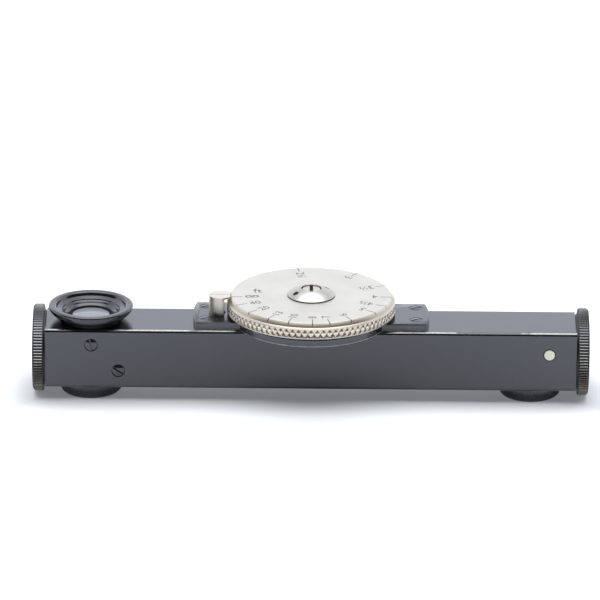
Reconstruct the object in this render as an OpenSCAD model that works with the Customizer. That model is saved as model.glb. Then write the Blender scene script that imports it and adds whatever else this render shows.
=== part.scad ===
// Coincidence rangefinder: a black enamelled brass tube with an eyepiece over one window,
// a tilting mirror over a second window, and a distance dial between them.
// Lengths are in millimetres. X runs along the tube with the eyepiece at its low end,
// Z points out of the eyepiece, and Z = 0 is the plane that the window rings stand on.

/* [Optics] */
// Distance between the two window axes
base_length = 100; // [92:1:120]
// Nearest distance on the scale, measured from the windows
near_distance = 762; // [750:2:2000]
// Width of the mirror and of the half-silvered plate
mirror_width = 6; // [5:0.1:6.2]
// Length of the mirror up its slope
mirror_length = 8.4; // [7:0.1:8.6]
// Thickness of the mirror glass
mirror_thick = 1.2; // [0.8:0.1:1.3]
// Thickness of the half-silvered plate
splitter_thick = 1; // [0.7:0.1:1.4]

/* [Mount of the half-silvered plate] */
// Distance of the mount's two screws behind the plate
splitter_screw_depth = 2.55; // [2:0.05:2.6]
// Distance of its upper screw from the tube's axis, along the slope
splitter_screw_up = 2.2; // [1.5:0.1:2.2]
// Distance of its lower screw from the tube's axis, along the slope
splitter_screw_down = 6.5; // [6:0.1:6.6]
// Length of its cheeks above the axis, along the slope
cheek_up = 6; // [5:0.1:7]
// Length of its cheeks below the axis, along the slope
cheek_down = 7.9; // [7.6:0.1:8.4]
// Length of the bar that joins the cheeks, along the slope
bar_length = 2.7; // [2:0.1:2.8]
// Thickness of that bar
bar_thick = 1.5; // [1:0.1:1.6]
// Reach of the mount to each side of the eyepiece axis
mount_reach = 8; // [7.6:0.1:8.4]
// Overlap of each cheek with the plate's edge
cheek_overlap = 0.3; // [0.2:0.05:0.5]
// Length of its screws under their heads
splitter_shank = 2.4; // [1.6:0.1:2.4]

/* [Tube] */
// Distance from the eyecup's lip to the tube's end
lip_margin = 0.6; // [0.4:0.1:4]
// Depth of the tube, front to back
tube_depth = 15; // [14.2:0.1:17]
// Height of the tube
tube_height = 13.95; // [13.2:0.05:16]
// Wall of the tube
tube_wall = 0.9; // [0.6:0.1:1]
// Radius of the long edges of the tube
tube_edge = 0.7; // [0.2:0.1:0.8]
// Gap between the lever's hub and the plug in the tube's end
plug_gap = 0.69; // [0.4:0.01:1.4]
// Radius of the threaded boss that holds an end cap
boss_r = 6.5; // [5:0.1:7.5]
// Length of that boss past the tube
boss_length = 1.9; // [1.2:0.1:2.2]
// Distance of the light stop from the eyepiece axis
stop_place = 25; // [12:1:28]
// Thickness of the light stop
stop_thick = 0.6; // [0.4:0.1:1.5]
// Radius of its hole
stop_hole_r = 3.2; // [2.5:0.1:4.5]

/* [End caps] */
// Diameter of the caps over the flutes
cap_d = 19.8; // [19.6:0.1:22]
// Thickness of a cap
cap_thick = 2.45; // [2.3:0.05:4]
// Groove between the tube's end and the cap
cap_gap = 0.4; // [0.2:0.05:0.8]
// Radius of the cap's plain neck, which closes the groove
cap_neck_r = 9.3; // [8:0.1:9.5]
// Number of flutes round a cap
cap_flutes = 92; // [60:1:110]
// Depth of a flute
flute_depth = 0.24; // [0.1:0.02:0.4]
// Chamfer on both edges of a cap
cap_chamfer = 0.45; // [0.1:0.05:0.8]

/* [Windows] */
// Diameter of a window ring
ring_d = 13.6; // [12.4:0.1:14]
// Height that the rings stand out of the tube
ring_height = 2.95; // [2.8:0.05:5]
// Chamfer round the foot of a ring
ring_chamfer = 0.4; // [0.1:0.05:0.5]
// Radius of the clear hole in a ring
window_r = 4.6; // [3.5:0.1:4.8]
// Radius of the window glass
glass_r = 5.3; // [5:0.1:5.5]
// Thickness of the window glass
glass_thick = 1.1; // [0.8:0.1:1.3]
// Depth of the glass seat from the ring's foot
glass_seat = 2.2; // [2:0.1:2.4]
// Thickness of the retaining ring under the glass
retainer_thick = 0.8; // [0.5:0.05:0.9]
// Radius of the neck that screws into the tube
neck_r = 5.7; // [5.6:0.1:6]

/* [Eyepiece] */
// Diameter of the eyecup's lip
eyecup_d = 19.2; // [17:0.1:20]
// Height of the eyecup above the tube
eyecup_height = 3.6; // [3.4:0.1:6]
// Radius of the eyecup's waist
waist_r = 6.6; // [5.9:0.1:7.2]
// Height of the straight waist under the flare
flare_foot = 0.4; // [0.2:0.05:0.8]
// Rise of the flare's underside before it turns up
flare_rise = 1; // [0.6:0.1:1.4]
// Distance of that turn inside the lip
flare_inset = 0.4; // [0.2:0.1:1]
// Radius of the lip's rounded edge
lip_nose = 0.45; // [0.3:0.05:0.7]
// Radius of the bowl's mouth
bowl_r = 7.76; // [7.2:0.02:8]
// Depth of the bowl's mouth below the lip's crest
bowl_drop = 0.66; // [0.3:0.02:0.8]
// Radius of the eyepiece barrel
barrel_r = 5; // [4.8:0.1:5.2]
// Height of the barrel above the tube
barrel_height = 1.4; // [1.2:0.1:1.8]
// Radius of the eye lens
lens_r = 4.5; // [4.2:0.1:4.6]
// Thickness of the lens at its edge
lens_edge = 0.6; // [0.4:0.1:0.8]
// Rise of the lens's front face
lens_rise = 0.3; // [0.2:0.05:0.6]
// Radius of the clear hole in the lens's retaining ring
lens_hole_r = 4.2; // [3:0.05:4.3]
// Thickness of the lens's retaining ring
lens_ring_thick = 0.25; // [0.2:0.05:0.6]
// Thickness of the barrel's flange under the tube's roof
barrel_flange = 0.7; // [0.5:0.05:0.8]

/* [Bearing plate] */
// Length of the plate over its two ears
plate_length = 53.6; // [50:0.2:60]
// Depth of the ears, front to back
ear_depth = 13.3; // [11:0.1:13.4]
// Thickness of the ears
ear_thick = 1.8; // [1.2:0.1:2]
// Radius of the ears' corners
ear_corner = 1.1; // [0.3:0.1:2]
// Diameter of the plate's round middle
plate_d = 34.8; // [30:0.2:36]
// Thickness of the plate's round middle
plate_thick = 2.2; // [2:0.1:3]
// Inset of the ear screws from the ends of the ears
ear_screw_inset = 3; // [2.4:0.1:3.4]
// Distance of the ear screws from the tube's middle plane
ear_screw_side = 3.8; // [3.6:0.1:4.2]
// Distance that the ear screws' heads lie below the ears
ear_head_sink = 0.06; // [0:0.02:0.2]

/* [Index post] */
// Diameter of the post
post_d = 5.3; // [4:0.1:5.4]
// Radius of the peg that holds the post in the plate
post_peg_r = 1.2; // [0.8:0.1:1.4]
// Gap between the post's flat and the dial's rim
post_gap = 0.6; // [0.3:0.05:0.9]
// Length of post behind its flat
post_flat = 3.55; // [2.8:0.05:3.6]
// Thickness of the head that reaches over the rim
post_head = 0.4; // [0.2:0.05:0.6]
// Gap between the head's tip and the dial's bevel
tip_gap = 0.15; // [0.1:0.05:0.4]

/* [Dial] */
// Diameter of the dial over its knurled rim
dial_d = 38.2; // [37.6:0.2:44]
// Gap under the dial
dial_gap = 0.3; // [0.25:0.05:0.6]
// Thickness of the dial
dial_thick = 3.67; // [3:0.05:5]
// Height of the knurled band
knurl_height = 2.25; // [1.5:0.05:2.4]
// Height of the chamfer above the knurl
rim_chamfer = 0.45; // [0.2:0.05:0.5]
// Width of the bevel that carries the ends of the marks
bevel_width = 0.63; // [0.3:0.01:1]
// Turn of the dial between its stops
dial_turn = 280; // [180:1:290]
// Turn of the dial from the first stop to the infinity mark
past_infinity = 5; // [0:1:10]
// Radius of the groove that the stop pin runs in
stop_groove_r = 12; // [10:0.1:14]
// Radius of the stop pin
stop_pin_r = 0.6; // [0.5:0.05:0.8]
// Depth of the stop groove
stop_groove_depth = 1; // [0.8:0.1:1.4]

/* [Spindle] */
// Radius of the spindle in its bush
journal_r = 3; // [2.6:0.1:3.1]
// Running clearance of the spindle in its bush
running_gap = 0.06; // [0.02:0.01:0.09]
// Outer radius of the bush
bush_r = 4.2; // [3.8:0.1:5]
// Radius of the spindle's upper end
spindle_top_r = 2.1; // [1.6:0.1:2.2]
// Height of the shoulder in the dial's underside
shoulder_height = 1; // [0.6:0.1:1.4]
// Diameter of the dome nut
nut_d = 10.9; // [9:0.1:13]
// Height of the dome nut above the dial
nut_height = 1.73; // [1.4:0.05:2.4]
// Height of the nut's upright foot
nut_foot = 0.2; // [0.1:0.05:0.5]
// Radius of the hole in the dome nut
nut_hole_r = 2.28; // [2.25:0.01:2.4]
// Depth of the spindle's end below the nut's top
spindle_sink = 0.22; // [0.1:0.02:0.4]
// Width of the screwdriver slot in the spindle
spindle_slot = 0.8; // [0.5:0.05:1]
// Radius of the circle of spanner holes in the nut
spanner_circle_r = 4; // [3.6:0.1:4.1]
// Radius of a spanner hole
spanner_hole_r = 0.62; // [0.4:0.02:0.7]

/* [Cam and mirror lever] */
// Radius of the cam's middle, where the follower runs
cam_r = 4.1; // [4.05:0.05:4.3]
// Width of the cam's face
cam_width = 1.8; // [1.4:0.1:1.8]
// Thickness of the cam at its thinnest
cam_min = 0.25; // [0.2:0.05:0.4]
// Thickness of the flange that carries the cam
flange_thick = 0.4; // [0.3:0.05:0.5]
// Gap between the flange and the bush
flange_gap = 0.15; // [0.1:0.05:0.2]
// Length of the spindle's spigot inside the cam
spigot_length = 1; // [0.6:0.1:1.4]
// Thickness of the mirror's holder
holder_thick = 1.3; // [1:0.1:1.4]
// Gap between the follower and the cam
follower_gap = 0.1; // [0.08:0.01:0.2]
// Length of the follower above the lever
follower_length = 3.2; // [3:0.1:3.4]
// Radius of the follower screw
follower_r = 0.6; // [0.4:0.05:0.6]
// Thickness of the lever's arm, front to back
arm_thick = 1.6; // [1.2:0.1:1.8]
// Height of the lever's arm at its tip
arm_height = 2; // [1.6:0.1:2]
// Place of the pivot past the window axis
pivot_beyond = 4.05; // [4:0.05:4.3]
// Place of the pivot above the tube's axis
pivot_above = 1.85; // [1.4:0.05:1.9]
// Radius of the pivot pin
pivot_r = 1.4; // [1.2:0.05:1.5]
// Wall of the hub round the pivot pin
hub_wall = 0.75; // [0.6:0.05:0.85]
// Distance that the pin's ends stand out
pivot_proud = 0.1; // [0:0.02:0.3]
// Radius of the return spring
spring_r = 1.6; // [1.3:0.05:1.7]
// Gap between the return spring and the tube's back wall
spring_side_gap = 0.6; // [0.5:0.05:0.9]
// Diameter of the spring's wire
spring_wire = 0.32; // [0.25:0.01:0.34]
// Turns of the spring
spring_turns = 4; // [3:0.5:5]

/* [Screws] */
// Radius of every screw head
head_r = 1.5; // [1.2:0.05:1.6]
// Thickness of the ear screws' heads
head_thick = 0.55; // [0.4:0.05:0.7]
// Radius of every screw shank
shank_r = 0.8; // [0.6:0.05:0.9]
// Width of every screw slot
slot_width = 0.36; // [0.25:0.01:0.5]
// Distance that the front screws' heads lie below the tube's face
head_sink = 0.5; // [0.3:0.05:0.55]

/* [Hidden] */
$fn = 96;

// Clearance between pieces that are screwed, pressed or cemented together
fit_gap = 0.03;
// Extra length of a cutting shape past the surface that it cuts
cut_over = 0.5;
// Slope of both mirrors
slope = 45;

half_base = base_length / 2;
end_margin = eyecup_d / 2 + lip_margin;
half_tube = half_base + end_margin;
tube_floor = ring_height + tube_wall;
tube_top = ring_height + tube_height;
tube_ceiling = tube_top - tube_wall;
axis_z = ring_height + tube_height / 2;
inner_depth = tube_depth - 2 * tube_wall;
inner_height = tube_height - 2 * tube_wall;
ring_r = ring_d / 2;
ring_neck_length = tube_wall;

plate_r = plate_d / 2;
plate_top = tube_top + plate_thick;
dial_r = dial_d / 2;
dial_bottom = plate_top + dial_gap;
dial_top = dial_bottom + dial_thick;
chamfer_top = dial_bottom + knurl_height + rim_chamfer;
chamfer_r = dial_r - 0.9 * rim_chamfer;
face_r = chamfer_r - bevel_width;
shoulder_z = dial_bottom + shoulder_height;
spindle_end = dial_top + nut_height - spindle_sink;
bush_bore_r = journal_r + running_gap;
washer_thick = dial_gap - 0.07;

flange_top = tube_ceiling - flange_gap;
cam_top = flange_top - flange_thick;
cam_outer_r = cam_r + cam_width / 2;
cam_inner_r = cam_r - cam_width / 2;

// The light from the far window comes in at this angle when the object is nearest,
// and the mirror turns half as far between the infinity mark and the nearest mark
mirror_swing = atan(base_length / near_distance) / 2 * dial_turn / (dial_turn - past_infinity);
pivot_x = half_base + pivot_beyond;
pivot_z = axis_z + pivot_above;
cam_rise = pivot_x * tan(mirror_swing);
cam_low = cam_top - cam_min - cam_rise;
follower_top = cam_low - follower_gap;
arm_top = follower_top - follower_length;
arm_bottom = arm_top - arm_height;
arm_y = cam_r - arm_thick / 2;
// Flat length of the arm at the follower
arm_pad = 1.8;
hub_r = pivot_r + running_gap + hub_wall;
plug_length = end_margin - pivot_beyond - hub_r - plug_gap;

// The spring stands under the arm, and keeps its gap to the back wall
spring_y = inner_depth / 2 - spring_side_gap - spring_r;
spring_foot = 0.3;
spring_peg_r = 0.6;
spring_space = 0.1;
ear_screw_x = plate_length / 2 - ear_screw_inset;
post_face_x = -(dial_r + post_gap);
post_x = post_face_x - post_flat + post_d / 2;
// The two screws stand on a line that runs behind the half-silvered plate at its own slope
splitter_screw_along = [-splitter_screw_up, splitter_screw_down];

// Points of an arc, for outlines
function arc_points(cx, cy, r, from, to, steps) =
    [for (i = [0:steps]) let (a = from + (to - from) * i / steps) [cx + r * cos(a), cy + r * sin(a)]];

// Lays a flat outline drawn in Y and Z along X, centred on x = 0
module along_x(length) rotate([90, 0, 90]) linear_extrude(length, center = true) children();

// Turns a shape drawn along +Z to run along +Y
module along_y() rotate([-90, 0, 0]) children();

// Puts a shape on a mirror slope at x: its own Z then points up and away from the eyepiece
module on_slope(x) translate([x, 0, axis_z]) rotate([0, slope, 0]) children();

module rounded_outline(width, height, r) {
    square([width - 2 * r, height], center = true);
    square([width, height - 2 * r], center = true);
    for (x = [-1, 1], y = [-1, 1]) translate([x * (width / 2 - r), y * (height / 2 - r)]) circle(r);
}

module ring(outer, inner, height) difference() {
    cylinder(r = outer, h = height);
    translate([0, 0, -cut_over]) cylinder(r = inner, h = height + 2 * cut_over);
}

// A slotted screw: its head's top is at the origin and its shank hangs down
module screw(length, turn, head = head_thick) difference() {
    union() {
        translate([0, 0, -head]) cylinder(r = head_r, h = head);
        translate([0, 0, -head - length]) cylinder(r = shank_r, h = length + head / 2);
    }
    rotate(turn) translate([-head_r - cut_over, -slot_width / 2, -head * 0.55])
        cube([2 * (head_r + cut_over), slot_width, head]);
}

module at_ear_screws() for (x = [-1, 1], y = [-1, 1]) translate([x * ear_screw_x, y * ear_screw_side, 0]) children();

// Children stand on the front wall, pointing out of it, at both screws of the half-silvered plate's mount
module at_splitter_screws(y) for (i = [0, 1]) {
    s = splitter_screw_along[i];
    translate([-half_base + (s + splitter_screw_depth) * cos(slope), y,
               axis_z + (splitter_screw_depth - s) * sin(slope)])
        rotate([90, 0, 0]) rotate(i == 0 ? -73 : -31) children();
}

module at_pivot(y) translate([pivot_x, y, pivot_z]) along_y() children();

module tube_body() color("#24262b") difference() {
    translate([0, 0, axis_z]) along_x(2 * half_tube) difference() {
        rounded_outline(tube_depth, tube_height, tube_edge);
        square([inner_depth, inner_height], center = true);
    }
    for (x = [-1, 1]) translate([x * half_base, 0, ring_height - cut_over])
        cylinder(r = neck_r + fit_gap, h = tube_wall + 2 * cut_over);
    translate([-half_base, 0, tube_ceiling - cut_over])
        cylinder(r = barrel_r + fit_gap, h = tube_wall + 2 * cut_over);
    translate([0, 0, tube_ceiling - cut_over]) cylinder(r = bush_r + fit_gap, h = tube_wall + 2 * cut_over);
    translate([0, 0, tube_ceiling - cut_over]) at_ear_screws()
        cylinder(r = shank_r + fit_gap, h = tube_wall + 2 * cut_over);
    translate([0, spring_y, ring_height - cut_over])
        cylinder(r = spring_peg_r + fit_gap, h = tube_wall + 2 * cut_over);
    at_splitter_screws(-tube_depth / 2 + tube_wall + cut_over)
        cylinder(r = head_r + fit_gap, h = tube_wall + 2 * cut_over);
    at_pivot(-tube_depth) cylinder(r = pivot_r + fit_gap, h = 2 * tube_depth);
}

// Drawn for the end at +X
module end_block() {
    translate([half_tube - plug_length / 2, 0, axis_z])
        cube([plug_length, inner_depth - 2 * fit_gap, inner_height - 2 * fit_gap], center = true);
    translate([half_tube, 0, axis_z]) rotate([0, 90, 0]) cylinder(r = boss_r, h = boss_length);
}
module end_block_left() color("#2b2b2e") mirror([1, 0, 0]) end_block();
module end_block_right() color("#2b2b2e") end_block();

module fluted_outline(r, count, depth) {
    pitch = 360 / count;
    polygon([for (i = [0:count - 1], p = [[0, 0], [0.3, 0], [0.65, 1]])
        let (a = (i + p[0]) * pitch, q = r - depth * p[1]) [q * cos(a), q * sin(a)]]);
}

// A cup with flutes round its rim, standing on its open side, with a plain neck below it
module end_cap() difference() {
    union() {
        intersection() {
            linear_extrude(cap_thick) fluted_outline(cap_d / 2, cap_flutes, flute_depth);
            rotate_extrude() polygon([[0, 0], [cap_d / 2 - cap_chamfer, 0], [cap_d / 2 + fit_gap, cap_chamfer],
                [cap_d / 2 + fit_gap, cap_thick - cap_chamfer], [cap_d / 2 - cap_chamfer, cap_thick], [0, cap_thick]]);
        }
        translate([0, 0, fit_gap - cap_gap]) cylinder(r = cap_neck_r, h = cap_gap);
    }
    translate([0, 0, -cap_gap - cut_over])
        cylinder(r = boss_r + fit_gap, h = boss_length + fit_gap + cut_over);
}
module place_cap(side) translate([side * (half_tube + cap_gap), 0, axis_z]) rotate([0, side * 90, 0]) children();
module end_cap_left() color("#3a3a3c") place_cap(-1) end_cap();
module end_cap_right() color("#3a3a3c") place_cap(1) end_cap();

module eyepiece_barrel() color("#1c1c1e") translate([-half_base, 0, 0]) difference() {
    union() {
        translate([0, 0, tube_ceiling - barrel_flange]) cylinder(r = barrel_r + 0.8, h = barrel_flange);
        translate([0, 0, tube_ceiling - barrel_flange])
            cylinder(r = barrel_r, h = tube_wall + barrel_height + barrel_flange);
    }
    translate([0, 0, tube_ceiling - barrel_flange - cut_over])
        cylinder(r = lens_hole_r - 0.25, h = tube_height);
    translate([0, 0, lens_seat_z()]) cylinder(r = lens_r + fit_gap, h = tube_height);
}
function lens_seat_z() = tube_top + barrel_height - lens_edge - lens_ring_thick;

// Flat below and domed above
module eye_lens() color("#b8c4cc", 0.5) translate([-half_base, 0, lens_seat_z()])
    rotate_extrude() polygon(concat([[0, 0], [lens_r, 0], [lens_r, lens_edge], [lens_hole_r - 0.05, lens_edge]],
        lens_dome(lens_hole_r - 0.05, lens_rise, lens_edge)));
function lens_dome(r, rise, base) = let (big = (r * r + rise * rise) / (2 * rise), half = asin(r / big))
    [for (i = [1:10]) let (a = half * (1 - i / 10)) [i == 10 ? 0 : big * sin(a), base + rise - big + big * cos(a)]];

module lens_retaining_ring() color("#161617")
    translate([-half_base, 0, tube_top + barrel_height - lens_ring_thick])
    ring(lens_r, lens_hole_r, lens_ring_thick);

// Points of a curve that leaves p towards q and arrives at r
function bend_points(p, q, r, steps) =
    [for (i = [0:steps]) let (t = i / steps) (1 - t) * (1 - t) * p + 2 * t * (1 - t) * q + t * t * r];

// A flared bowl with a rounded lip and turned steps inside
module eyecup() color("#2a2b2f") translate([-half_base, 0, tube_top]) rotate_extrude() {
    lip = eyecup_d / 2;
    bore = barrel_r + fit_gap;
    nose_z = eyecup_height - lip_nose;
    mouth_z = eyecup_height - bowl_drop;
    // Share of the bowl's width and depth at each turned step
    steps = [[1, 1], [0.96, 0.88], [0.56, 0.64], [0.52, 0.5], [0.34, 0.28], [0.31, 0.18], [0.04, 0]];
    polygon(concat(
        [[bore, 0], [waist_r, 0]],
        bend_points([waist_r, flare_foot], [lip - flare_inset, flare_foot + flare_rise], [lip, nose_z], 10),
        arc_points(lip - lip_nose, nose_z, lip_nose, 15, 90, 5),
        bend_points([lip - 2.4 * lip_nose, eyecup_height], [bowl_r + 0.1, eyecup_height - 0.05], [bowl_r, mouth_z], 5),
        [for (p = steps) [bore + (bowl_r - bore) * p[0], barrel_height + (mouth_z - barrel_height) * p[1]]],
        [[bore, barrel_height - 0.1]]));
}

// Drawn on the Z axis, standing on z = 0
module window_ring() difference() {
    union() {
        rotate_extrude() polygon([[0, 0], [ring_r - ring_chamfer, 0], [ring_r, ring_chamfer],
            [ring_r, ring_height], [0, ring_height]]);
        translate([0, 0, ring_height - cut_over]) cylinder(r = neck_r, h = ring_neck_length + cut_over);
    }
    translate([0, 0, -cut_over]) cylinder(r = window_r, h = ring_height + tube_height);
    translate([0, 0, -cut_over]) cylinder(r = glass_r + fit_gap, h = glass_seat + cut_over);
}
module window_glass() translate([0, 0, glass_seat - glass_thick]) cylinder(r = glass_r, h = glass_thick);
module window_retainer() translate([0, 0, glass_seat - glass_thick - retainer_thick])
    ring(glass_r, window_r, retainer_thick);
module at_window(side) translate([side * half_base, 0, 0]) children();
module window_ring_left() color("#26272a") at_window(-1) window_ring();
module window_ring_right() color("#26272a") at_window(1) window_ring();
module window_glass_left() color("#b8c4cc", 0.5) at_window(-1) window_glass();
module window_glass_right() color("#b8c4cc", 0.5) at_window(1) window_glass();
module window_retainer_left() color("#1c1c1e") at_window(-1) window_retainer();
module window_retainer_right() color("#1c1c1e") at_window(1) window_retainer();

// Two cheeks against the tube's front and back walls, joined by a bar under the light path
module splitter_mount() color("#8a7340") difference() {
    intersection() {
        on_slope(-half_base) union() {
            for (y = [-1, 1]) translate([-cheek_up, y < 0 ? -inner_depth / 2 + fit_gap : splitter_cheek_y(), 0])
                cube([cheek_up + cheek_down, inner_depth / 2 - fit_gap - splitter_cheek_y(),
                      2 * splitter_screw_depth]);
            translate([cheek_down - bar_length, -inner_depth / 2 + fit_gap, 0])
                cube([bar_length, inner_depth - 2 * fit_gap, bar_thick]);
        }
        translate([-half_base - mount_reach, -inner_depth / 2, tube_floor + fit_gap])
            cube([2 * mount_reach, inner_depth, inner_height - barrel_flange - 3 * fit_gap]);
    }
    at_splitter_screws(-inner_depth / 2 + splitter_shank) cylinder(r = shank_r + fit_gap, h = tube_depth);
}
function splitter_cheek_y() = mirror_width / 2 - cheek_overlap;

module splitter_plate() color("#cdd6d4", 0.5) on_slope(-half_base)
    translate([-mirror_length / 2, -mirror_width / 2, -splitter_thick])
    cube([mirror_length, mirror_width, splitter_thick]);

module splitter_screws() color("#2f2f31")
    at_splitter_screws(-tube_depth / 2 + head_sink) screw(splitter_shank - fit_gap, 0, tube_wall - head_sink);

module light_stop() color("#1a1a1b") translate([-half_base + stop_place, 0, axis_z]) along_x(stop_thick)
    difference() {
        square([inner_depth - 2 * fit_gap, inner_height - 2 * fit_gap], center = true);
        circle(stop_hole_r);
    }

module bearing_plate() color("#2a2c31") difference() {
    union() {
        translate([0, 0, tube_top]) intersection() {
            linear_extrude(ear_thick) rounded_outline(plate_length, ear_depth, ear_corner);
            cylinder(d = plate_length, h = ear_thick);
        }
        translate([0, 0, tube_top]) cylinder(r = plate_r, h = plate_thick);
    }
    translate([0, 0, tube_top - cut_over]) cylinder(r = bush_r + fit_gap, h = plate_thick + 2 * cut_over);
    translate([0, 0, tube_top - cut_over]) at_ear_screws() {
        cylinder(r = shank_r + fit_gap, h = plate_thick + 2 * cut_over);
        translate([0, 0, cut_over + ear_thick - head_thick - ear_head_sink])
            cylinder(r = head_r + fit_gap, h = plate_thick);
    }
    translate([0, stop_groove_r, tube_top - cut_over])
        cylinder(r = stop_pin_r + fit_gap, h = plate_thick + 2 * cut_over);
    translate([post_x, 0, tube_top - cut_over]) cylinder(r = post_peg_r + fit_gap, h = ear_thick + 2 * cut_over);
}

module ear_screws() color("#2f3033") translate([0, 0, tube_top + ear_thick - ear_head_sink])
    at_ear_screws() screw(ear_thick + tube_wall - head_thick - ear_head_sink + 0.3, 28);

// A round post with its side milled away below a thin head that reaches the dial's bevel
module index_post() color("#b9ae98") difference() {
    union() {
        translate([post_x, 0, tube_top + ear_thick]) cylinder(d = post_d, h = dial_top - tube_top - ear_thick);
        translate([post_x, 0, tube_top + fit_gap]) cylinder(r = post_peg_r, h = ear_thick);
    }
    translate([post_face_x, -post_d, tube_top + ear_thick - cut_over])
        cube([post_d, 2 * post_d, dial_top - post_head - tube_top - ear_thick + cut_over]);
    translate([0, 0, tube_top]) cylinder(r = post_tip_r(), h = 2 * dial_top);
}
function post_tip_r() = face_r + bevel_width * post_head / (dial_top - chamfer_top) + tip_gap;

module bearing_bush() color("#b08d4a") translate([0, 0, tube_ceiling])
    ring(bush_r, bush_bore_r, tube_wall + plate_thick);

module friction_washer() color("#9a9a94") translate([0, 0, plate_top])
    ring(bush_r + 1.4, bush_bore_r + 0.1, washer_thick);

module stop_pin() color("#9a9a94") translate([0, stop_groove_r, tube_top])
    cylinder(r = stop_pin_r, h = plate_thick + dial_gap + stop_groove_depth - 0.2);

module pivot_pin() color("#cfc8b8") at_pivot(-tube_depth / 2 - pivot_proud)
    cylinder(r = pivot_r, h = tube_depth + 2 * pivot_proud);

module spring_seat() color("#b08d4a") translate([0, spring_y, ring_height + fit_gap]) {
    cylinder(r = spring_peg_r, h = tube_wall + spring_foot);
    translate([0, 0, tube_wall]) cylinder(r = spring_r + 0.05, h = spring_foot - fit_gap);
}

function spring_bottom() = tube_floor + spring_foot;
function spring_length() = arm_bottom - spring_space - spring_bottom();
// One ring of points for each step up the coil
function coil_rings(r, wire, turns, height, sides, per_turn) =
    [for (i = [0:turns * per_turn]) let (t = i / per_turn, a = 360 * t, z = wire + (height - 2 * wire) * t / turns)
        [for (j = [0:sides - 1]) let (b = 360 * j / sides, q = r - wire + wire * cos(b))
            [q * cos(a), q * sin(a), z + wire * sin(b)]]];
module swept(rings) {
    n = len(rings);
    m = len(rings[0]);
    polyhedron([for (r = rings) each r],
        concat([[for (j = [0:m - 1]) j], [for (j = [m - 1:-1:0]) (n - 1) * m + j]],
            [for (i = [0:n - 2], j = [0:m - 1]) [i * m + j, (i + 1) * m + j, (i + 1) * m + (j + 1) % m]],
            [for (i = [0:n - 2], j = [0:m - 1]) [i * m + j, (i + 1) * m + (j + 1) % m, i * m + (j + 1) % m]]));
}
module return_spring() color("#8f9499") translate([0, spring_y, spring_bottom()])
    swept(coil_rings(spring_r, spring_wire / 2, spring_turns, spring_length(), 8, 20));

// The knurled rim, its chamfer and the bevel, with a stop groove and a seat for the spindle below
module dial() color("#cdc6b6") difference() {
    rotate_extrude() polygon([
        [spindle_top_r + fit_gap, shoulder_z], [journal_r + fit_gap, shoulder_z], [journal_r + fit_gap, dial_bottom],
        [dial_r, dial_bottom], [dial_r, dial_bottom + knurl_height], [chamfer_r, chamfer_top],
        [face_r, dial_top], [spindle_top_r + fit_gap, dial_top]]);
    translate([0, 0, dial_bottom - cut_over]) rotate(90 - stop_slack())
        rotate_extrude(angle = dial_turn + 2 * stop_slack())
        translate([stop_groove_r - stop_pin_r - 0.15, 0])
        square([2 * stop_pin_r + 0.3, stop_groove_depth + cut_over]);
}
// Turn of the dial that the pin's own width takes up at each end of the groove
function stop_slack() = asin(stop_pin_r / stop_groove_r) + 0.5;

module dome_nut() color("#d9d6cc") translate([0, 0, dial_top]) difference() {
    rotate_extrude() polygon(concat(
        [[nut_hole_r, 0], [nut_d / 2, 0]],
        nut_curve(nut_d / 2, nut_foot, nut_hole_r + 0.05, nut_height),
        [[nut_hole_r, nut_height - 0.05]]));
    for (a = [29, 209]) rotate(a) translate([spanner_circle_r, 0, 0.35])
        cylinder(r = spanner_hole_r, h = nut_height);
}
// Arc of a ball about the Z axis, from the nut's foot up to the edge of its hole
function nut_curve(r0, z0, r1, z1) =
    let (middle = (r1 * r1 + z1 * z1 - r0 * r0 - z0 * z0) / (2 * (z1 - z0)), ball = norm([r0, z0 - middle]))
    arc_points(0, middle, ball, atan2(z0 - middle, r0), atan2(z1 - middle, r1), 12);

module spindle() color("#b4b0a6") difference() {
    union() {
        translate([0, 0, flange_top - flange_thick]) cylinder(r = cam_outer_r, h = flange_thick);
        translate([0, 0, cam_top - spigot_length]) cylinder(r = cam_inner_r - fit_gap, h = spigot_length + fit_gap);
        translate([0, 0, cam_top]) cylinder(r = journal_r, h = shoulder_z - fit_gap - cam_top);
        translate([0, 0, cam_top]) cylinder(r = spindle_top_r, h = spindle_end - cam_top);
    }
    translate([-spindle_slot / 2, -spindle_top_r - cut_over, spindle_end - 0.9])
        cube([spindle_slot, 2 * (spindle_top_r + cut_over), 2]);
}

// Height of the cam's face at angle a of the dial, counted from the follower's place at the first stop
function cam_face(a) = cam_low + cam_rise * min(1, max(0, a / dial_turn));
cam_flat_before = 12;
cam_flat_after = 18;
cam_step = 3;
cam_angles = concat([for (a = [-cam_flat_before:cam_step:dial_turn + cam_flat_after]) a],
    [for (a = [dial_turn + cam_flat_after + 3 * cam_step:cam_step:360 - cam_flat_before - cam_step]) a]);
function cam_height(a) = a > dial_turn + cam_flat_after ? cam_low : cam_face(a);
module face_cam() color("#b08d4a") rotate(90) {
    n = len(cam_angles);
    points = [for (a = cam_angles, q = [[cam_inner_r, 0], [cam_outer_r, 0], [cam_outer_r, 1], [cam_inner_r, 1]])
        [q[0] * cos(a), q[0] * sin(a), q[1] == 1 ? cam_top : cam_height(a)]];
    polyhedron(points, [for (i = [0:n - 1], j = [0:3], half = [0, 1])
        let (k = (i + 1) % n, m = (j + 1) % 4)
        half == 0 ? [4 * i + j, 4 * k + j, 4 * k + m] : [4 * i + j, 4 * k + m, 4 * i + m]]);
}

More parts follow.
